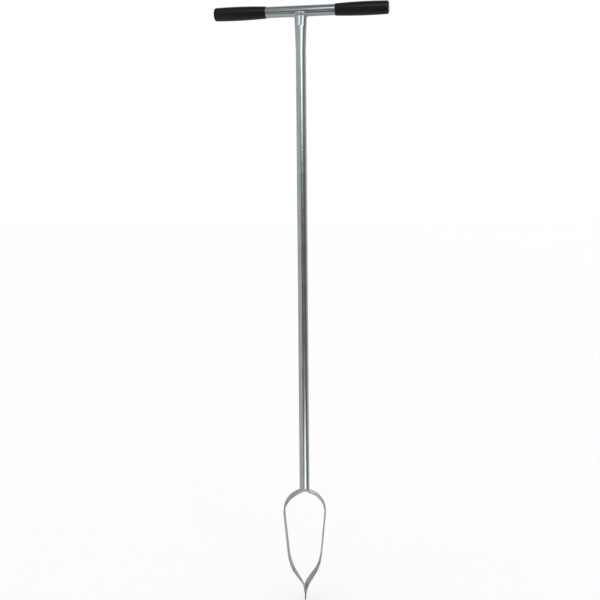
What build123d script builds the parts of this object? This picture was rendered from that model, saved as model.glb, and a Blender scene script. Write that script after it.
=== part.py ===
from build123d import *
import math
import os

# Hand earth auger: a T-handled steel shaft on an open head of two flat-bar blades.
# Millimetres and degrees. The origin is the point, +Z runs up the shaft, +X along the crossbar.

# Crossbar and grips
handle_height = 1186.0  # crossbar's axis above the point
handle_diameter = 21.3
handle_wall = 2.3
handle_length = 337.0  # pipe alone, end to end
grip_length = 104.0
grip_clearance = 0.1  # between the grip's bore and the pipe
grip_mouth_wall = 0.9
grip_belly_wall = 2.75
grip_belly_at = 66.0  # widest place, from the mouth
grip_rim_wall = 2.0  # at the closed end, before it is rounded
grip_end_wall = 4.0  # closed end beyond the pipe
grip_end_round = 7.0
grip_mouth_round = 0.4

# Shaft, whose top is pressed flat front and back and spread along the crossbar
shaft_diameter = 20.0
shaft_wall = 2.0
press_flat_depth = 16.8  # across the flats
press_step_depth = 19.6  # below the step under the flats
press_top_width = 25.0  # at the crossbar's axis
press_flat_width = 23.4  # at the flats' lower edge
press_step_width = 22.8  # below the step
press_flat_length = 26.0  # from the crossbar's axis down to the flats' lower edge
press_step_length = 5.0
press_blend_length = 48.0  # from the step down to the round tube

# Blades, given by the line of their inner faces
blade_width = 25.0
blade_thickness = 3.0
blade_edge_round = 0.6
crown_turn = 15.5  # blades' upper ends turned about the shaft, away from the crossbar's line
side_turn = 9.0  # turn of the sides, below the shoulders
point_turn = 16.8  # turn from the fork down
crown_height = 232.8  # inner faces' ridge under the shaft
crown_slope = 24.4  # fall of the blades' upper ends
shoulder_reach = 43.0
shoulder_radius = 41.8
waist_reach = 29.6
waist_height = 78.2
waist_radius = 95.0
fork_height = 33.0
fork_radius = 37.0
taper_height = 34.0  # blades narrow from here down to the point
tip_width = 2.5
tip_thickness = 0.8
blade_gap = 0.2  # between the two blades at the point
run_sections = 4  # spans in each bend or straight below the waist
shoulder_sections = 8  # spans in the twisted shoulder

# Welds
handle_weld_spread = 4.0  # bead's reach along the crossbar
handle_weld_front = 2.6  # bead's reach in front of the flats
handle_weld_drop = 2.2  # bead's reach below the crossbar
handle_weld_round = 1.2
foot_weld_leg = 3.0
seam_weld_radius = 2.5
seam_weld_drop = 0.6  # bead's axis below the inner faces' ridge
point_weld_radius = 1.5
point_weld_sink = 0.4  # bead's overlap with the blades before they cut it, each side
weld_end_inset = 1.5  # beads stop short of the blades' edges
weld_edge = 0.2  # bead's thickness where it runs out on the tube
bead_end_flat = 0.25  # radius left flat at a bead's rounded ends
root_gap = 0.1  # between the shaft's foot and the blades

handle_radius = handle_diameter / 2
shaft_radius = shaft_diameter / 2
crown_angle = math.radians(crown_slope)
crown_top = crown_height + blade_thickness / math.cos(crown_angle) + root_gap


def along_x(radius, length):
    return Rot(0, 90, 0) * Cylinder(radius, length)


def at_drop(drop, shape):
    """Place a shape below the crossbar's axis."""
    return Pos(0, 0, handle_height - drop) * shape


def half_turn(solid):
    return Rot(0, 0, 180) * solid


def make_handle_tube():
    pipe = along_x(handle_radius, handle_length)
    bore = along_x(handle_radius - handle_wall, handle_length)
    return at_drop(0, pipe - bore)


def make_grip_right():
    """Barrel-shaped grip with a closed, rounded outer end, pushed on until it stops on the pipe."""
    bore_radius = handle_radius + grip_clearance
    outer_end = handle_length / 2 + grip_end_wall
    mouth = outer_end - grip_length
    mouth_point = (mouth, bore_radius + grip_mouth_wall)
    belly_point = (mouth + grip_belly_at, bore_radius + grip_belly_wall)
    rim_point = (outer_end, bore_radius + grip_rim_wall)
    barrel = Spline(mouth_point, belly_point, rim_point)
    outline = barrel + Polyline(rim_point, (outer_end, 0), (mouth, 0), mouth_point)
    grip = revolve(Plane.XZ * make_face(outline), Axis.X, 360)
    grip = fillet(grip.edges().sort_by(Axis.X)[-1], grip_end_round)
    bore_length = grip_length - grip_end_wall
    grip -= Pos(mouth + bore_length / 2, 0, 0) * along_x(bore_radius, bore_length)
    mouth_rims = grip.edges().filter_by(GeomType.CIRCLE).group_by(Axis.X)[0]
    grip = fillet(mouth_rims, grip_mouth_round)
    return at_drop(0, grip)


def make_shaft_body(inset):
    """Shaft's outer skin, or its bore when inset is the wall, before its ends are cut."""
    step_drop = press_flat_length + press_step_length
    blend_drop = step_drop + press_blend_length
    radius = shaft_radius - inset
    tube = extrude(Circle(radius), handle_height - blend_drop)
    pressed = [
        (step_drop, press_step_width, press_step_depth),
        (press_flat_length, press_flat_width, press_flat_depth),
        (0, press_top_width, press_flat_depth),
    ]
    sections = [at_drop(blend_drop, Circle(radius))]
    for drop, width, depth in pressed:
        sections.append(at_drop(drop, SlotOverall(width - 2 * inset, depth - 2 * inset)))
    return tube + loft(sections, ruled=True)


def make_foot_cut():
    """Everything under the two planes that the shaft's foot stands on, turned with the head."""
    reach = shaft_diameter
    eaves = crown_top - reach * math.tan(crown_angle)
    outline = Polyline((0, crown_top), (reach, eaves), (reach, 0), (-reach, 0), (-reach, eaves), close=True)
    prism = extrude(Plane.XZ * make_face(outline), shaft_diameter, both=True)
    return Rot(0, 0, crown_turn) * prism


def make_shaft_tube():
    tube = make_shaft_body(0) - make_shaft_body(shaft_wall)
    tube -= at_drop(0, along_x(handle_radius, handle_length))
    return tube - make_foot_cut()


def eased(share):
    """0 to 1 with level ends."""
    share = min(max(share, 0.0), 1.0)
    return share * share * (3 - 2 * share)


def shoulder_turn(share):
    """Turn of the blades along their shoulders."""
    return crown_turn + (side_turn - crown_turn) * eased(share)


def lower_turn(height):
    """Turn of the blades below their sides."""
    share = (waist_height - height) / (waist_height - fork_height)
    return side_turn + (point_turn - side_turn) * eased(share)


def blade_section(line, share, turn):
    """Flat bar's outline across the blade, on the outer side of its inner face's line."""
    place = line @ share
    taper = min(max(place.Z / taper_height, 0.0), 1.0)
    width = tip_width + (blade_width - tip_width) * taper
    thickness = tip_thickness + (blade_thickness - tip_thickness) * taper
    bar = RectangleRounded(width, thickness, blade_edge_round * thickness / blade_thickness)
    plane = Plane(origin=place, x_dir=(0, 1, 0), z_dir=line % share)
    return Rot(0, 0, turn) * (plane * Pos(0, thickness / 2) * bar)


def make_blade_right():
    """Bent bar from the mitre under the shaft to the point, twisted at the shoulder and below the waist."""
    rise = math.tan(crown_angle)
    overrun = 2 * blade_thickness
    line = FilletPolyline(
        (-overrun, 0, crown_height + overrun * rise),
        (shoulder_reach, 0, crown_height - shoulder_reach * rise),
        (waist_reach, 0, waist_height),
        (blade_gap / 2, 0, fork_height),
        (blade_gap / 2, 0, 0),
        radius=[shoulder_radius, waist_radius, fork_radius],
    )
    crown, shoulder, side, *lower_runs = line.edges()
    blade = sweep(blade_section(crown, 0, crown_turn), path=Rot(0, 0, crown_turn) * crown)
    shares = [i / shoulder_sections for i in range(shoulder_sections + 1)]
    blade += loft([blade_section(shoulder, share, shoulder_turn(share)) for share in shares])
    blade += sweep(blade_section(side, 0, side_turn), path=Rot(0, 0, side_turn) * side)
    shares = [i / run_sections for i in range(run_sections + 1)]
    for run in lower_runs:
        blade += loft([blade_section(run, share, lower_turn((run @ share).Z)) for share in shares])
    left_side = (Align.MAX, Align.CENTER, Align.CENTER)
    mitre = Pos(0, 0, crown_height) * Box(blade_width, 2 * blade_width, 2 * blade_width, align=left_side)
    return blade - Rot(0, 0, crown_turn) * mitre


def make_handle_weld():
    """Bead in the corner between the crossbar and the shaft's pressed top."""
    reach = handle_radius + handle_weld_drop
    outline = SlotOverall(press_top_width + 2 * handle_weld_spread, press_flat_depth + 2 * handle_weld_front)
    bead = at_drop(reach, extrude(outline, reach)) & at_drop(0, along_x(reach, handle_length))
    underside = bead.faces().sort_by(Axis.Z)[0]
    bead = fillet(underside.edges(), handle_weld_round)
    return bead - at_drop(0, along_x(handle_radius, handle_length)) - make_shaft_body(0)


def tube_outline(radius, height):
    """Outline of an upright round tube cut along the right blade's slope at a height on its axis."""
    slope = (math.cos(crown_angle), 0, -math.sin(crown_angle))
    upright = (math.sin(crown_angle), 0, math.cos(crown_angle))
    plane = Plane(origin=(0, 0, height), x_dir=slope, z_dir=upright)
    return plane * Ellipse(radius / math.cos(crown_angle), radius)


def make_foot_weld_right():
    """Half of the bead round the shaft's foot, on the right blade."""
    ring = loft(
        [
            tube_outline(shaft_radius + foot_weld_leg, crown_top),
            tube_outline(shaft_radius + weld_edge, crown_top + foot_weld_leg),
        ],
        ruled=True,
    )
    reach = shaft_diameter + 2 * foot_weld_leg
    right_side = (Align.MIN, Align.CENTER, Align.CENTER)
    ring &= Pos(0, 0, crown_top) * Box(reach, 2 * reach, 2 * reach, align=right_side)
    tube = Pos(0, 0, crown_top) * Cylinder(shaft_radius, 2 * reach)
    return Rot(0, 0, crown_turn) * (ring - tube)


def make_bead(radius, height, turn):
    """Round-ended bead across the blades, centred on the shaft's axis."""
    bead = Rot(90, 0, 0) * Cylinder(radius, blade_width - 2 * weld_end_inset)
    bead = fillet(bead.edges().filter_by(GeomType.CIRCLE), radius - bead_end_flat)
    return Rot(0, 0, turn) * Pos(0, 0, height) * bead


def fork_weld_height():
    """Height in the fork where the blades stand a little less than the bead's width apart."""
    spread = math.atan2(waist_reach - blade_gap / 2, waist_height - fork_height)
    arc_foot = fork_height - fork_radius * math.tan(spread / 2)
    opening = point_weld_radius - point_weld_sink - blade_gap / 2
    return arc_foot + math.sqrt(fork_radius**2 - (fork_radius - opening) ** 2)


handle_tube = make_handle_tube()
shaft_tube = make_shaft_tube()
grip_right = make_grip_right()
blade_right = make_blade_right()
blade_left = half_turn(blade_right)
foot_weld_right = make_foot_weld_right()
seam_bead = make_bead(seam_weld_radius, crown_height - seam_weld_drop, crown_turn)
point_bead = make_bead(point_weld_radius, fork_weld_height(), point_turn)

nodes = {
    "handle_tube": handle_tube,
    "grip_left": half_turn(grip_right),
    "grip_right": grip_right,
    "handle_weld": make_handle_weld(),
    "shaft_tube": shaft_tube,
    "foot_weld_left": half_turn(foot_weld_right),
    "foot_weld_right": foot_weld_right,
    "blade_left": blade_left,
    "blade_right": blade_right,
    "seam_weld": seam_bead - blade_left - blade_right,
    "point_weld": point_bead - blade_left - blade_right,
}

os.makedirs("parts", exist_ok=True)
for name, solid in nodes.items():
    export_step(solid, f"parts/{name}.step")
    print(name, len(solid.solids()), round(solid.volume), solid.bounding_box())
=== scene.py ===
import math

import bmesh
import bpy
import numpy as np
from mathutils import Matrix, Quaternion, Vector, noise


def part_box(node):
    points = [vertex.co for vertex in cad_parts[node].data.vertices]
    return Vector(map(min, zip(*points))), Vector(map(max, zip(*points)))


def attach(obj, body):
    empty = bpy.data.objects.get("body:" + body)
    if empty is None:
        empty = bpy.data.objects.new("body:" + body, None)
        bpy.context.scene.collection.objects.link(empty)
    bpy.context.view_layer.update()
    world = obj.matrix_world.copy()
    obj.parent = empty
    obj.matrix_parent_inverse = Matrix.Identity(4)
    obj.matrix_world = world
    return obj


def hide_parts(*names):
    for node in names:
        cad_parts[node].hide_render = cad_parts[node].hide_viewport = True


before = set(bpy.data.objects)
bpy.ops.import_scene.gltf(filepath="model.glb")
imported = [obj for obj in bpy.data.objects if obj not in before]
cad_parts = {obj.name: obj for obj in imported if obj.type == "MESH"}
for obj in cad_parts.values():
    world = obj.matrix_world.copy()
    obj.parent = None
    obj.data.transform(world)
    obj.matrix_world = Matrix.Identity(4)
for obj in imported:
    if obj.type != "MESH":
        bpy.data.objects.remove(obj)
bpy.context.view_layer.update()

mm = 0.001
hair = 0.001 * mm  # points closer than this count as one
print("frame loaded:", len(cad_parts), "nodes")


# Shader nodes

class Wire:
    # a node's output socket; sums on it add Math nodes
    def __init__(self, tree, socket=None):
        self.tree = tree
        self.socket = socket

    def node(self, kind, settings=None, inputs=None, output=0):
        made = self.tree.nodes.new(kind)
        for name, value in (settings or {}).items():
            setattr(made, name, value)
        for name, value in (inputs or {}).items():
            if isinstance(value, Wire):
                self.tree.links.new(value.socket, made.inputs[name])
            else:
                made.inputs[name].default_value = value
        return Wire(self.tree, made.outputs[output] if made.outputs else None)

    def math(self, operation, left, right):
        return self.node("ShaderNodeMath", {"operation": operation}, {0: left, 1: right})

    def __add__(self, other):
        return self.math("ADD", self, other)

    def __radd__(self, other):
        return self.math("ADD", other, self)

    def __sub__(self, other):
        return self.math("SUBTRACT", self, other)

    def __rsub__(self, other):
        return self.math("SUBTRACT", other, self)

    def __mul__(self, other):
        return self.math("MULTIPLY", self, other)

    def grain(self, scale, detail=3.0, roughness=0.55):
        # noise over these coordinates
        inputs = {"Vector": self, "Scale": scale, "Detail": detail, "Roughness": roughness}
        return self.node("ShaderNodeTexNoise", {}, inputs)

    def cells(self, scale, output, feature="F1"):
        inputs = {"Vector": self, "Scale": scale}
        return self.node("ShaderNodeTexVoronoi", {"feature": feature}, inputs, output)

    def stretched(self, scale):
        return self.node("ShaderNodeMapping", {}, {"Vector": self, "Scale": scale})

    def step(self, low, high):
        # 0 below low, 1 above high
        inputs = {"Value": self, "From Min": low, "From Max": high}
        return self.node("ShaderNodeMapRange", {"interpolation_type": "SMOOTHSTEP"}, inputs)

    def tint(self, low, high):
        # from one colour to the other; a Mix node's colours are inputs 6 and 7 and output 2
        return self.node("ShaderNodeMix", {"data_type": "RGBA"}, {0: self, 6: low, 7: high}, 2)


def startMaterial(name):
    material = bpy.data.materials.new(name)
    material.use_nodes = True
    material.node_tree.nodes.clear()
    return material, Wire(material.node_tree)


def endMaterial(wire, inputs, height, distance):
    bump = {"Height": height, "Strength": 1.0, "Distance": distance}
    inputs["Normal"] = wire.node("ShaderNodeBump", {}, bump)
    surface = wire.node("ShaderNodeBsdfPrincipled", {}, inputs)
    wire.node("ShaderNodeOutputMaterial", {}, {"Surface": surface})


tubeLook = {
    "dull": (0.49, 0.535, 0.555, 1),
    "bright": (0.61, 0.66, 0.68, 1),
    "lineScale": 1300,  # across the drawing lines
    "lineStretch": 0.012,  # along them
    "lineTone": 0.4,
    "lineRough": 0.03,
    "lineRise": 0.5,
    "cloudScale": 24,
    "cloudRange": (0.3, 0.7),
    "cloudTone": 0.6,
    "cloudRough": 0.04,
    "fleckScale": 260,
    "fleckRange": (0.62, 0.74),
    "fleckTone": 0.3,
    "fleckRough": 0.08,
    "fleckDip": 0.5,
    "relief": 0.006 * mm,
}


def zincTube(name, axis, rough):
    # bright zinc on drawn tube: lines along it, soft clouds and a few dull flecks
    look = tubeLook
    material, wire = startMaterial(name)
    place = wire.node("ShaderNodeTexCoord", output="Object")
    stretch = [1.0, 1.0, 1.0]
    stretch[axis] = look["lineStretch"]
    lines = place.stretched(stretch).grain(look["lineScale"], detail=4)
    clouds = place.grain(look["cloudScale"], detail=4, roughness=0.6)
    flecks = place.grain(look["fleckScale"], detail=2).step(*look["fleckRange"])
    tone = clouds.step(*look["cloudRange"]) * look["cloudTone"] + lines * look["lineTone"]
    sheen = rough + clouds * look["cloudRough"] + lines * look["lineRough"]
    inputs = {
        "Base Color": (tone - flecks * look["fleckTone"]).tint(look["dull"], look["bright"]),
        "Metallic": 1.0,
        "Roughness": sheen + flecks * look["fleckRough"],
    }
    height = lines * look["lineRise"] + clouds - flecks * look["fleckDip"]
    endMaterial(wire, inputs, height, look["relief"])
    return material


barLook = {
    "blue": (0.39, 0.43, 0.45, 1),
    "grey": (0.62, 0.61, 0.585, 1),
    "warm": (0.67, 0.65, 0.615, 1),
    "rough": 0.30,
    "spangleScale": 260,
    "facetTone": 0.2,
    "facetRough": 0.08,
    "facetRise": 0.3,
    "cloudScale": 55,
    "cloudRange": (0.37, 0.63),
    "cloudTone": 0.65,
    "cloudRough": 0.12,
    "rollScale": 700,
    "rollStretch": 0.05,
    "rollTone": 0.15,
    "rollRise": 0.3,
    "wearRange": (0.35, 0.55),
    "wearShine": 0.08,  # roughness lost where it is rubbed
    "relief": 0.03 * mm,
}


def zincBar(name):
    # mottled zinc on rolled flat bar, warmer where its edges are rubbed
    look = barLook
    material, wire = startMaterial(name)
    place = wire.node("ShaderNodeAttribute", {"attribute_name": "barPlace"}, output="Vector")
    rubbed = wire.node("ShaderNodeAttribute", {"attribute_name": "rubbed"}, output="Fac")
    spangle = place.cells(look["spangleScale"], "Color")
    facet = spangle.node("ShaderNodeSeparateColor", {}, {"Color": spangle})
    clouds = place.grain(look["cloudScale"], detail=7, roughness=0.72)
    roll = place.stretched((look["rollStretch"], 1, 1)).grain(look["rollScale"], detail=3)
    tone = clouds.step(*look["cloudRange"]) * look["cloudTone"] + facet * look["facetTone"]
    zinc = (tone + roll * look["rollTone"]).tint(look["blue"], look["grey"])
    wear = rubbed * clouds.step(*look["wearRange"])
    sheen = look["rough"] + clouds * look["cloudRough"] + facet * look["facetRough"]
    inputs = {
        "Base Color": wear.tint(zinc, look["warm"]),
        "Metallic": 1.0,
        "Roughness": sheen - wear * look["wearShine"],
    }
    height = clouds + facet * look["facetRise"] + roll * look["rollRise"]
    endMaterial(wire, inputs, height, look["relief"])
    return material


weldLook = {
    "dull": (0.50, 0.535, 0.555, 1),
    "bright": (0.74, 0.77, 0.78, 1),
    "rough": 0.36,
    # painted highlight on the ripple crests, against painted shade in the dips
    "crestPaintedLight": 0.3,
    "crestShine": 0.06,  # roughness lost on the crests
    "patchScale": 260,
    "patchRange": (0.42, 0.66),
    "patchTone": 0.6,
    "patchRough": 0.2,
    "patchRise": 0.6,
    "spatterScale": 900,
    "spatterRise": 0.4,
    "relief": 0.08 * mm,
}


def zincWeld(name):
    # zinc over a rough bead: darker colour in its dips is painted shade, lighter colour on its crests a
    # painted highlight; the crests are also glossier
    look = weldLook
    material, wire = startMaterial(name)
    place = wire.node("ShaderNodeTexCoord", output="Object")
    crest = wire.node("ShaderNodeAttribute", {"attribute_name": "crest"}, output="Fac")
    patch = place.grain(look["patchScale"], detail=4, roughness=0.6)
    spatter = place.grain(look["spatterScale"], detail=3)
    # crests paler as a painted highlight, dips darker as painted shade; the patches are random paler
    # zinc
    tone = crest * look["crestPaintedLight"] + patch.step(*look["patchRange"]) * look["patchTone"]
    inputs = {
        "Base Color": tone.tint(look["dull"], look["bright"]),
        "Metallic": 1.0,
        "Roughness": look["rough"] + patch * look["patchRough"] - crest * look["crestShine"],
    }
    height = patch * look["patchRise"] + spatter * look["spatterRise"]
    endMaterial(wire, inputs, height, look["relief"])
    return material


gripLook = {
    "deep": (0.0040, 0.0038, 0.0042, 1),
    "pale": (0.0070, 0.0067, 0.0073, 1),
    "rough": 0.16,
    "specular": 0.3,
    "pebbleScale": 1900,
    "pebbleTone": 0.3,
    "pebbleRough": 0.06,
    "cloudScale": 60,
    "cloudRange": (0.3, 0.7),
    "cloudTone": 0.7,
    "cloudRough": 0.1,
    "cloudRise": 0.3,
    "relief": 0.03 * mm,
}


def blackGrip(name):
    # moulded black grip: fine pebbled grain, a little paler in places
    look = gripLook
    material, wire = startMaterial(name)
    place = wire.node("ShaderNodeTexCoord", output="Object")
    pebble = place.cells(look["pebbleScale"], "Distance", "SMOOTH_F1")
    clouds = place.grain(look["cloudScale"], detail=4)
    tone = clouds.step(*look["cloudRange"]) * look["cloudTone"] + pebble * look["pebbleTone"]
    inputs = {
        "Base Color": tone.tint(look["deep"], look["pale"]),
        "Roughness": look["rough"] + clouds * look["cloudRough"] + pebble * look["pebbleRough"],
        "Specular IOR Level": look["specular"],
    }
    endMaterial(wire, inputs, pebble + clouds * look["cloudRise"], look["relief"])
    return material


shaftZinc = zincTube("shaftZinc", axis=2, rough=0.11)
crossbarZinc = zincTube("crossbarZinc", axis=0, rough=0.05)
bladeZinc = zincBar("bladeZinc")
weldZinc = zincWeld("weldZinc")
gripBlack = blackGrip("gripBlack")
print("materials ready")


# Mesh helpers

def smoothStep(low, high, value):
    share = min(max((value - low) / (high - low), 0.0), 1.0)
    return share * share * (3 - 2 * share)


def turned(angle):
    return Matrix.Rotation(math.radians(angle), 4, "Z")


def startTube(radius, length, sides, place=Matrix(), capped=False):
    bm = bmesh.new()
    bmesh.ops.create_cone(
        bm, cap_ends=capped, segments=sides, radius1=radius, radius2=radius, depth=length, matrix=place
    )
    return bm


def edgesAlong(bm, axis, least):
    return [e for e in bm.edges if abs((e.verts[0].co - e.verts[1].co)[axis]) > least]


def sliceAlong(bm, axis, least, cuts):
    bmesh.ops.subdivide_edges(bm, edges=edgesAlong(bm, axis, least), cuts=cuts, use_grid_fill=True)


def giveWall(bm, wall):
    bmesh.ops.recalc_face_normals(bm, faces=bm.faces)
    bmesh.ops.solidify(bm, geom=bm.faces[:], thickness=wall)


def addPiece(bm, name, node, material, sharp):
    # sharp is the angle in degrees from which an edge is shaded as an edge
    mesh = bpy.data.meshes.new(name)
    bm.to_mesh(mesh)
    bm.free()
    mesh.shade_smooth()
    mesh.set_sharp_from_angle(angle=math.radians(sharp))
    mesh.materials.append(material)
    piece = bpy.data.objects.new(name, mesh)
    bpy.context.scene.collection.objects.link(piece)
    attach(piece, "root")
    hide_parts(node)


# Crossbar

crossbar = {"radius": 10.65 * mm, "wall": 2.3 * mm, "sides": 96, "rings": 12, "sharp": 40}
barLow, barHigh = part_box("handle_tube")
barAxis = (barLow.z + barHigh.z) / 2


def saddleDrop(y):
    # from the crossbar's axis down to its underside
    return math.sqrt(max(crossbar["radius"] ** 2 - y * y, 0.0))


def makeCrossbar():
    length = barHigh.x - barLow.x
    place = Matrix.Translation((0, 0, barAxis)) @ Matrix.Rotation(math.pi / 2, 4, "Y")
    bm = startTube(crossbar["radius"], length, crossbar["sides"], place)
    sliceAlong(bm, 0, length / 2, crossbar["rings"])
    giveWall(bm, crossbar["wall"])
    addPiece(bm, "crossbar", "handle_tube", crossbarZinc, crossbar["sharp"])


makeCrossbar()
print("crossbar done")


# Grips

grip = {
    "bore": 10.75 * mm,
    "mouth": 11.65 * mm,  # radii along the barrel
    "belly": 13.49 * mm,
    "rim": 12.75 * mm,
    "bellyAt": 66.0 * mm,
    "endWall": 4.0 * mm,
    "endRound": 4.0 * mm,
    "mouthRound": 0.4 * mm,
    "roundSteps": 8,
    "stations": 28,
    "sides": 96,
    "merge": 0.005 * mm,  # closes the spin at the axis
    "sharp": 50,
}
gripLow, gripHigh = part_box("grip_right")


def makeGrip(name, node, side):
    start, end = gripLow.x, gripHigh.x
    length = end - start
    barrel = np.polyfit([0, grip["bellyAt"], length], [grip["mouth"], grip["belly"], grip["rim"]], 2)
    outline = [(end - grip["endWall"], 0), (end - grip["endWall"], grip["bore"]), (start, grip["bore"])]
    for along in np.linspace(0, length, grip["stations"]):
        outline.append((start + along, float(np.polyval(barrel, along))))
    outline.append((end, 0))

    bm = bmesh.new()
    verts = [bm.verts.new((x, 0, barAxis + radius)) for x, radius in outline]
    for a, b in zip(verts, verts[1:]):
        bm.edges.new((a, b))
    for corner, size in ((verts[-2], grip["endRound"]), (verts[3], grip["mouthRound"])):
        bmesh.ops.bevel(
            bm, geom=[corner], offset=size, affect="VERTICES", segments=grip["roundSteps"], profile=0.5,
            material=-1,
        )
    bmesh.ops.spin(
        bm, geom=bm.verts[:] + bm.edges[:], cent=(0, 0, barAxis), axis=(1, 0, 0), angle=2 * math.pi,
        steps=grip["sides"], use_merge=True, use_duplicate=False,
    )
    bmesh.ops.remove_doubles(bm, verts=bm.verts, dist=grip["merge"])
    bmesh.ops.transform(bm, matrix=turned(side), verts=bm.verts)
    bmesh.ops.recalc_face_normals(bm, faces=bm.faces)
    addPiece(bm, name, node, gripBlack, grip["sharp"])


makeGrip("gripRight", "grip_right", side=0)
makeGrip("gripLeft", "grip_left", side=180)
print("grips done")


# Blades: a straight flat bar, drawn out at its end, then bent along its inner face's line

blade = {
    "width": 25.0 * mm,
    "thickness": 3.0 * mm,
    "edgeRound": 0.6 * mm,
    "roundSteps": 3,
    "crownTurn": 15.5,  # degrees about the shaft: at the upper ends,
    "sideTurn": 9.0,  # along the sides
    "pointTurn": 20.0,  # and from the fork down
    "crown": 232.8 * mm,
    "slope": 24.4,  # fall of the upper ends
    "shoulderReach": 43.0 * mm,
    "shoulderRadius": 41.8 * mm,
    "waistReach": 29.6 * mm,
    "waistHeight": 78.2 * mm,
    "waistRadius": 95.0 * mm,
    "forkReach": 0.1 * mm,
    "forkHeight": 33.0 * mm,
    "forkRadius": 37.0 * mm,
    "taperHeight": 34.0 * mm,
    "taperPower": 1.5,  # 1 for straight edges, more for hollow ones
    "tipWidth": 2.5 * mm,
    "tipThickness": 0.8 * mm,
    "overrun": 6.0 * mm,  # past the mitre before it is cut
    "slices": 220,
    "columns": 9,
    "lineSteps": 1200,  # along the bent line
    "wave": 0.12 * mm,  # unevenness of the broad faces
    "waveLength": 14.0 * mm,
    "waveFade": (0.7, 0.98),  # shares of the half width
    "rubbedFrom": 0.86,
    "sharp": 35,
}
slopeAngle = math.radians(blade["slope"])
crownTop = blade["crown"] + blade["thickness"] / math.cos(slopeAngle)


def roofHeight(place):
    # height of the blades' upper faces under the shaft
    return crownTop - abs((turned(-blade["crownTurn"]) @ place).x) * math.tan(slopeAngle)


def bendLine():
    # lengths, places and headings along the inner face; headings fall from +X towards -Z
    rise = math.tan(slopeAngle)
    corners = [
        Vector((-blade["overrun"], blade["crown"] + blade["overrun"] * rise)),
        Vector((blade["shoulderReach"], blade["crown"] - blade["shoulderReach"] * rise)),
        Vector((blade["waistReach"], blade["waistHeight"])),
        Vector((blade["forkReach"], blade["forkHeight"])),
        Vector((blade["forkReach"], 0)),
    ]
    radii = [blade["shoulderRadius"], blade["waistRadius"], blade["forkRadius"]]
    legs = [b - a for a, b in zip(corners, corners[1:])]
    headings = [math.atan2(-leg.y, leg.x) for leg in legs]
    bends = [b - a for a, b in zip(headings, headings[1:])]
    trims = [0.0, *(r * math.tan(abs(bend) / 2) for r, bend in zip(radii, bends)), 0.0]
    knots, knotHeadings = [0.0], [headings[0]]
    for i, leg in enumerate(legs):
        knots.append(knots[-1] + leg.length - trims[i] - trims[i + 1])
        knotHeadings.append(headings[i])
        if i < len(bends):
            knots.append(knots[-1] + radii[i] * abs(bends[i]))
            knotHeadings.append(headings[i + 1])
    run, step = np.linspace(0, knots[-1], blade["lineSteps"], retstep=True)
    heading = np.interp(run, knots, knotHeadings)
    middle = (heading[1:] + heading[:-1]) / 2
    x = corners[0].x + step * np.concatenate(([0], np.cumsum(np.cos(middle))))
    z = corners[0].y - step * np.concatenate(([0], np.cumsum(np.sin(middle))))
    return knots, run, x, z, heading


def straightBar(length):
    # along +X, its inner face on the ground, mitred where the blades meet
    bm = bmesh.new()
    bmesh.ops.create_cube(bm, size=1)
    bmesh.ops.translate(bm, vec=(0.5, 0, 0.5), verts=bm.verts)
    bmesh.ops.scale(bm, vec=(length, blade["width"], blade["thickness"]), verts=bm.verts)
    bmesh.ops.bevel(
        bm, geom=edgesAlong(bm, 0, length / 2), offset=blade["edgeRound"], affect="EDGES",
        segments=blade["roundSteps"], profile=0.5, material=-1,
    )
    sliceAlong(bm, 1, blade["width"] / 2, blade["columns"])
    sliceAlong(bm, 0, length / 2, blade["slices"])
    cut = bmesh.ops.bisect_plane(
        bm, geom=bm.verts[:] + bm.edges[:] + bm.faces[:], dist=hair, clear_inner=True,
        plane_co=(blade["overrun"] / math.cos(slopeAngle), 0, 0),
        plane_no=(math.cos(slopeAngle), 0, math.sin(slopeAngle)),
    )
    rim = [e for e in cut["geom_cut"] if isinstance(e, bmesh.types.BMEdge)]
    bmesh.ops.holes_fill(bm, edges=rim)
    return bm


def makeBlade(name, node, side, seed):
    knots, run, lineX, lineZ, heading = bendLine()
    bm = straightBar(knots[-1])
    barPlace = bm.verts.layers.float_vector.new("barPlace")
    rubbed = bm.verts.layers.float.new("rubbed")
    twistHeight = blade["waistHeight"] - blade["forkHeight"]
    for v in bm.verts:
        s, w, t = v.co
        x, z, angle = (float(np.interp(s, run, line)) for line in (lineX, lineZ, heading))
        drawn = 1 - min(max(z, 0) / blade["taperHeight"], 1.0) ** blade["taperPower"]
        edge = abs(w) / (blade["width"] / 2)
        v[barPlace] = (s + seed, w, t)
        v[rubbed] = max(smoothStep(blade["rubbedFrom"], 1.0, edge), drawn)
        wave = noise.noise(Vector((s, w, seed)) / blade["waveLength"]) * blade["wave"]
        w *= 1 - drawn * (1 - blade["tipWidth"] / blade["width"])
        t *= 1 - drawn * (1 - blade["tipThickness"] / blade["thickness"])
        t += wave * (1 - drawn) * (1 - smoothStep(*blade["waveFade"], edge))
        pastShoulder = smoothStep(knots[1], knots[2], s)
        pastWaist = smoothStep(0, twistHeight, blade["waistHeight"] - z)
        turn = blade["crownTurn"] + side
        turn += (blade["sideTurn"] - blade["crownTurn"]) * pastShoulder
        turn += (blade["pointTurn"] - blade["sideTurn"]) * pastWaist
        v.co = turned(turn) @ Vector((x + t * math.sin(angle), w, max(z + t * math.cos(angle), 0)))
    bmesh.ops.recalc_face_normals(bm, faces=bm.faces)
    addPiece(bm, name, node, bladeZinc, blade["sharp"])


makeBlade("bladeRight", "blade_right", side=0, seed=7.02)
makeBlade("bladeLeft", "blade_left", side=180, seed=7.0)
print("blades done")


# Shaft, pressed flat front and back and spread along the crossbar at its top

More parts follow.
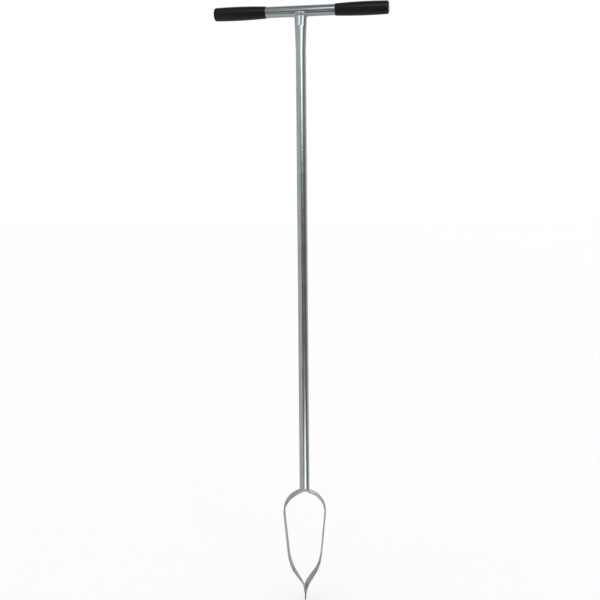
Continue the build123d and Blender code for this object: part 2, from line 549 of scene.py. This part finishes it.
shaft = {
    "radius": 10.0 * mm,
    "wall": 2.0 * mm,
    "sides": 160,
    "drops": (0.0, 27.5 * mm, 32.5 * mm, 79.0 * mm),  # below the crossbar's axis
    "widths": (25.0 * mm, 23.4 * mm, 22.8 * mm, 20.0 * mm),
    "depths": (16.8 * mm, 16.8 * mm, 19.6 * mm, 20.0 * mm),
    "dentMiddle": -0.8 * mm,  # press mark on the front, off the middle
    "dentHalf": 2.5 * mm,
    "dentEnd": 28.0 * mm,
    "dentDepth": 0.64 * mm,  # at its right edge; it runs out to the left
    "dentEdge": 0.6 * mm,
    "plainFrom": 12.0 * mm,  # slices of the round tube, above its foot
    "plainTo": 84.0 * mm,  # and below the crossbar's axis
    "plainSlices": 24,
    "blendSlices": (82, 34, -2),  # mm below the axis: first, end and step
    "pressSlices": (34, 11, -0.5),
    "endReach": 1.0 * mm,  # points this near an end take its shape
    "sharp": 60,
}
shaftLow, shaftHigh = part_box("shaft_tube")


def pressedOutline(angle, drop, out=0.0):
    # flats between round ends, mapped by length along the outline; an oval below the press mark
    half = float(np.interp(drop, shaft["drops"], shaft["depths"])) / 2
    wide = float(np.interp(drop, shaft["drops"], shaft["widths"])) / 2
    flat = wide - half
    across, along = math.cos(angle), math.sin(angle)
    quarter = math.atan2(abs(along), abs(across)) / (math.pi / 2)
    run = quarter * (half * math.pi / 2 + flat)
    turn = min(run / half, math.pi / 2)
    spare = max(run - half * math.pi / 2, 0.0)
    normal = Vector((math.copysign(math.cos(turn), across), math.copysign(math.sin(turn), along), 0))
    place = Vector((math.copysign(flat - spare, across), 0, 0)) + normal * (half + out)
    oval = Vector((wide * across, half * along, 0))
    return place.lerp(oval, smoothStep(*shaft["drops"][1:3], drop)), normal


def dentDepth(place, drop):
    # press mark with a round lower end; the back's is the front's after half a turn
    aside = place.x * -math.copysign(1, place.y) - shaft["dentMiddle"]
    below = max(drop - (shaft["dentEnd"] - shaft["dentHalf"]), 0.0)
    inner, outer = shaft["dentHalf"] - shaft["dentEdge"], shaft["dentHalf"]
    inside = 1 - smoothStep(inner, outer, math.hypot(aside, below))
    return inside * shaft["dentDepth"] * (1 + aside / shaft["dentHalf"]) / 2


def makeShaft():
    foot, top = shaftLow.z, shaftHigh.z
    middle = Matrix.Translation((0, 0, (foot + top) / 2))
    bm = startTube(shaft["radius"], top - foot, shaft["sides"], middle)
    plain = np.linspace(foot + shaft["plainFrom"], barAxis - shaft["plainTo"], shaft["plainSlices"])
    blend = barAxis - np.arange(*shaft["blendSlices"]) * mm
    pressed = barAxis - np.arange(*shaft["pressSlices"]) * mm
    for height in (*plain, *blend, *pressed):
        bmesh.ops.bisect_plane(
            bm, geom=bm.verts[:] + bm.edges[:] + bm.faces[:], dist=hair,
            plane_co=(0, 0, height), plane_no=(0, 0, 1),
        )
    for v in bm.verts:
        drop = barAxis - v.co.z
        if drop < shaft["drops"][-1]:
            place, normal = pressedOutline(math.atan2(v.co.y, v.co.x), drop)
            v.co.xy = (place - normal * dentDepth(place, drop)).xy
        if v.co.z > top - shaft["endReach"]:
            v.co.z = barAxis - saddleDrop(v.co.y)
        elif v.co.z < foot + shaft["endReach"]:
            v.co.z = roofHeight(v.co)
    giveWall(bm, shaft["wall"])
    addPiece(bm, "shaftTube", "shaft_tube", shaftZinc, shaft["sharp"])


makeShaft()
print("shaft done")


# Welds: a straight bead with ripples, laid along the joint

weld = {
    "sides": 24,
    "slice": 0.2 * mm,
    "pitch": 1.8 * mm,  # from ripple to ripple
    "ripple": 0.16,  # shares of the bead's radius
    "lump": 0.2,
    "lumpScale": 330,
    "lean": 0.35,  # ripples trail at the bead's sides
    "endLeast": 0.06,  # keeps the round ends from closing to a point
    "sharp": 180,
}


def layBead(name, node, path, outward, radius, spread, closed, seed):
    # spread is the bead's half width as a share of its radius, which is its rise
    if closed:
        path, outward = path + path[:1], outward + outward[:1]
    line, out = np.array(path), np.array(outward)
    run = np.concatenate(([0], np.cumsum(np.linalg.norm(np.diff(line, axis=0), axis=1))))
    length = float(run[-1])
    ripples = round(length / weld["pitch"])
    ahead = np.gradient(line, run, axis=0)
    if closed:
        ahead[0] = ahead[-1] = (ahead[0] + ahead[-1]) / 2

    bm = startTube(radius, length, weld["sides"], capped=not closed)
    sliceAlong(bm, 2, length / 2, int(length / weld["slice"]))
    crest = bm.verts.layers.float.new("crest")
    for v in bm.verts:
        s = v.co.z + length / 2
        around = math.atan2(v.co.y, v.co.x)
        place, up, tangent = (
            Vector([np.interp(s, run, rows[:, i]) for i in range(3)]) for rows in (line, out, ahead)
        )
        tangent.normalize()
        up = (up - tangent * up.dot(tangent)).normalized()
        phase = (s / length * ripples - weld["lean"] * (1 - math.cos(around))) % 1.0
        rise = math.sqrt(1 - phase * phase)
        lump = noise.noise(place * weld["lumpScale"] + Vector((seed, 0, math.cos(around))))
        size = radius * (1 - weld["ripple"] * (1 - rise) + weld["lump"] * lump)
        if not closed:
            fromEnd = min(s, length - s, radius) / radius
            size *= math.sqrt(max(1 - (1 - fromEnd) ** 2, weld["endLeast"]))
        v[crest] = rise
        v.co = place + (up * math.cos(around) + tangent.cross(up) * math.sin(around) * spread) * size
    bmesh.ops.remove_doubles(bm, verts=bm.verts, dist=hair)
    bmesh.ops.recalc_face_normals(bm, faces=bm.faces)
    addPiece(bm, name, node, weldZinc, weld["sharp"])


handleWeld = {"radius": 1.2 * mm, "spread": 3.2, "out": 0.8 * mm, "drop": 9.0 * mm, "points": 240}


def makeHandleWeld():
    path, outward = [], []
    for i in range(handleWeld["points"]):
        angle = 2 * math.pi * i / handleWeld["points"]
        place, normal = pressedOutline(angle, handleWeld["drop"], handleWeld["out"])
        drop = saddleDrop(place.y)
        path.append(Vector((place.x, place.y, barAxis - drop)))
        outward.append((normal + Vector((0, place.y, -drop)) / crossbar["radius"]).normalized())
    radius, spread = handleWeld["radius"], handleWeld["spread"]
    layBead("handleWeld", "handle_weld", path, outward, radius, spread, closed=True, seed=3.0)


footWeld = {"radius": 0.8 * mm, "spread": 1.4, "out": 0.35 * mm, "rise": 0.3 * mm, "points": 90}


def makeFootWeld(name, node, side, seed):
    path, outward = [], []
    for i in range(footWeld["points"] + 1):
        angle = math.radians(-90 + 180 * i / footWeld["points"])
        ray = turned(blade["crownTurn"] + side) @ Vector((math.cos(angle), math.sin(angle), 0))
        place = ray * (shaft["radius"] + footWeld["out"])
        path.append(Vector((place.x, place.y, roofHeight(place) + footWeld["rise"])))
        outward.append((ray + Vector((0, 0, 1))).normalized())
    radius, spread = footWeld["radius"], footWeld["spread"]
    layBead(name, node, path, outward, radius, spread, closed=False, seed=seed)


crossBead = {
    "seamRadius": 1.7 * mm,
    "seamLift": 0.8 * mm,  # above the CAD bead's underside
    "pointRadius": 1.5 * mm,
    "pointLift": 0.0,
    "spread": 1.0,
    "inset": 1.5 * mm,  # from the blades' edges
    "points": 20,
}


def makeCrossBead(name, node, turn, kind, seed):
    # across the blades
    radius = crossBead[kind + "Radius"]
    half = blade["width"] / 2 - crossBead["inset"]
    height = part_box(node)[0].z + crossBead[kind + "Lift"] + radius
    ray = turned(turn) @ Vector((0, 1, 0))
    shares = np.linspace(-1, 1, crossBead["points"])
    path = [ray * half * share + Vector((0, 0, height)) for share in shares]
    outward = [Vector((0, 0, 1))] * len(path)
    layBead(name, node, path, outward, radius, crossBead["spread"], closed=False, seed=seed)


makeHandleWeld()
makeFootWeld("footWeldRight", "foot_weld_right", side=0, seed=11.0)
makeFootWeld("footWeldLeft", "foot_weld_left", side=180, seed=17.0)
makeCrossBead("seamWeld", "seam_weld", blade["crownTurn"], "seam", seed=23.0)
makeCrossBead("pointWeld", "point_weld", blade["pointTurn"], "point", seed=29.0)
print("welds done")


# Floor, light and camera

camera = {
    "azimuth": 10.82,
    "elevation": 5.6,
    "distance": 2.0,
    "target": Vector((-0.0061, 0, 0.6212)),
    "roll": -0.5,
    "lens": 59.96,
    "sensor": 36,
}

# soft panels, later ones over earlier ones: degrees to the right of the camera and above level
studio = {
    "surround": 0.46,
    "backdrop": 1.0,  # what the camera sees past the floor
    "panels": {
        "leftWall": {"sides": (-150, -25), "heights": (-90, 65), "soft": (10, 10), "light": 0.55},
        "rightWall": {"sides": (84, 160), "heights": (-90, 60), "soft": (9, 9), "light": 0.5},
        "backStrip": {"sides": (127, 138), "heights": (-60, 60), "soft": (4, 10), "light": 1.0},
        "behindLeft": {"sides": (-181, -155), "heights": (5, 60), "soft": (8, 6), "light": 0.56},
        "behindRight": {"sides": (155, 181), "heights": (5, 60), "soft": (8, 6), "light": 1.2},
        "darkFront": {"sides": (-28, 84), "heights": (-60, 62), "soft": (9, 9), "light": 0.14},
        "paleRight": {"sides": (36, 84), "heights": (3.5, 62), "soft": (7, 5), "light": 0.29},
        "paleLeft": {"sides": (-45, -6), "heights": (6.3, 15), "soft": (3, 2.4), "light": 0.62},
        "softboxFoot": {"sides": (-10, 29), "heights": (3.1, 6), "soft": (4, 1), "light": 1.3},
        "softbox": {"sides": (-7.5, 29), "heights": (5.6, 56), "soft": (4, 1.6), "light": 1.9},
        "softboxWing": {"sides": (-23, -8), "heights": (23, 50), "soft": (6, 5), "light": 1.6},
        "nearFloor": {"sides": (-30, 58), "heights": (-24, -14.6), "soft": (3, 2), "light": 0.5},
        "floorGlow": {"sides": (4, 41), "heights": (-26, -13), "soft": (6, 5), "light": 2.1},
        "ceiling": {"sides": (-181, 181), "heights": (62, 95), "soft": (6, 6), "light": 0.23},
    },
    "floorRadius": 40.0,
    "floorSides": 96,
    "floorDrop": 0.3 * mm,
    "floorTone": 0.4,
    "floorRough": 0.9,
    "floorLight": 0.507,  # lit from within, so that shadows stay pale
    "topPower": 1.8,  # even light from above, for the floor
    "topSpread": 80,
}


def band(value, low, high, soft):
    # 1 from low to high, with soft ends
    begun = value.step(low - soft / 2, low + soft / 2)
    ended = value.step(high - soft / 2, high + soft / 2)
    return begun * (1 - ended)


def makeWorld():
    world = bpy.data.worlds.new("studio")
    bpy.context.scene.world = world
    world.use_nodes = True
    world.node_tree.nodes.clear()
    wire = Wire(world.node_tree)
    ray = wire.node("ShaderNodeTexCoord", output="Generated")

    def along(direction):
        inputs = {0: ray, 1: direction}
        return wire.node("ShaderNodeVectorMath", {"operation": "DOT_PRODUCT"}, inputs, "Value")

    facing = math.radians(camera["azimuth"])
    right = along((math.cos(facing), math.sin(facing), 0))
    toward = along((math.sin(facing), -math.cos(facing), 0))
    azimuth = wire.math("ARCTAN2", right, toward) * math.degrees(1)
    elevation = wire.math("ARCSINE", along((0, 0, 1)), 0) * math.degrees(1)
    light = studio["surround"]
    for panel in studio["panels"].values():
        sideSoft, heightSoft = panel["soft"]
        mask = band(azimuth, *panel["sides"], sideSoft) * band(elevation, *panel["heights"], heightSoft)
        light = light + mask * (panel["light"] - light)
    seen = wire.node("ShaderNodeLightPath", output="Is Camera Ray")
    shown = light + seen * (studio["backdrop"] - light)
    surface = wire.node("ShaderNodeBackground", {}, {"Color": (1, 1, 1, 1), "Strength": shown})
    wire.node("ShaderNodeOutputWorld", {}, {"Surface": surface})


def makeFloor():
    bm = bmesh.new()
    bmesh.ops.create_circle(
        bm, cap_ends=True, segments=studio["floorSides"], radius=studio["floorRadius"]
    )
    bmesh.ops.translate(bm, vec=(0, 0, -studio["floorDrop"]), verts=bm.verts)
    mesh = bpy.data.meshes.new("floor")
    bm.to_mesh(mesh)
    bm.free()
    paint, wire = startMaterial("floorPaint")
    tone = (studio["floorTone"], studio["floorTone"], studio["floorTone"], 1)
    inputs = {
        "Base Color": tone,
        "Roughness": studio["floorRough"],
        "Emission Color": (1, 1, 1, 1),
        "Emission Strength": studio["floorLight"],
    }
    surface = wire.node("ShaderNodeBsdfPrincipled", {}, inputs)
    wire.node("ShaderNodeOutputMaterial", {}, {"Surface": surface})
    mesh.materials.append(paint)
    floor = bpy.data.objects.new("floor", mesh)
    floor.visible_glossy = False
    bpy.context.scene.collection.objects.link(floor)

    lamp = bpy.data.lights.new("topLight", "SUN")
    lamp.angle = math.radians(studio["topSpread"])
    lamp.energy = studio["topPower"]
    top = bpy.data.objects.new("topLight", lamp)
    top.visible_camera = False
    top.visible_glossy = False
    bpy.context.scene.collection.objects.link(top)


def makeCamera():
    azimuth, elevation = math.radians(camera["azimuth"]), math.radians(camera["elevation"])
    level = math.cos(elevation)
    back = Vector((math.sin(azimuth) * level, -math.cos(azimuth) * level, math.sin(elevation)))
    lens = bpy.data.cameras.new("camera")
    lens.lens = camera["lens"]
    lens.sensor_width = camera["sensor"]
    eye = bpy.data.objects.new("camera", lens)
    eye.location = camera["target"] + back * camera["distance"]
    eye.rotation_mode = "QUATERNION"
    roll = Quaternion((0, 0, 1), math.radians(camera["roll"]))
    eye.rotation_quaternion = (-back).to_track_quat("-Z", "Y") @ roll
    bpy.context.scene.collection.objects.link(eye)
    bpy.context.scene.camera = eye


makeWorld()
makeFloor()
makeCamera()
bpy.context.scene.view_settings.view_transform = "Standard"
print("studio ready")
